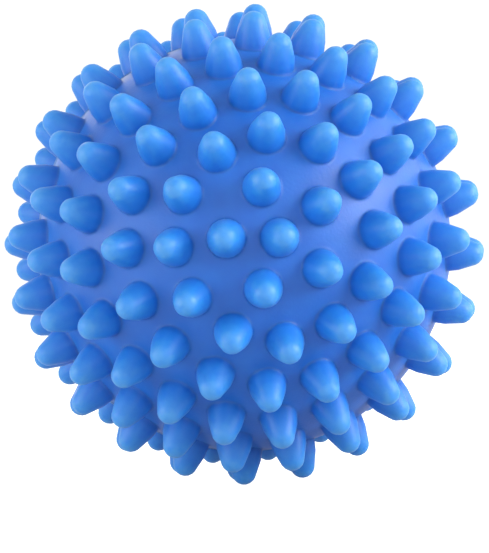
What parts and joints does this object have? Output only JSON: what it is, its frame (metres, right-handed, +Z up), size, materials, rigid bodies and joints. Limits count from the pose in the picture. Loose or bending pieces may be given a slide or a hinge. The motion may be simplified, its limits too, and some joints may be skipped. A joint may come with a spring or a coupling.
{
  "type": "dryer ball",
  "caption": "Hollow soft plastic ball covered all over in rows of blunt rounded nubs, moulded in two halves that join at the equator.",
  "frame": {"origin": "centre of the ball", "axes": "Y through both poles, with the front half towards -Y and the seam in the XZ plane; +Z up, and the ball rests on the lowest nubs beside the seam"},
  "size_m": [0.064, 0.065, 0.064],
  "materials": {
    "soft_pvc": "satin",
    "plug_pvc": "satin"
  },
  "bodies": {
    "root": {"front_half_shell": "soft_pvc", "back_half_shell": "soft_pvc", "vent_plug": "plug_pvc"}
  },
  "joints": []
}
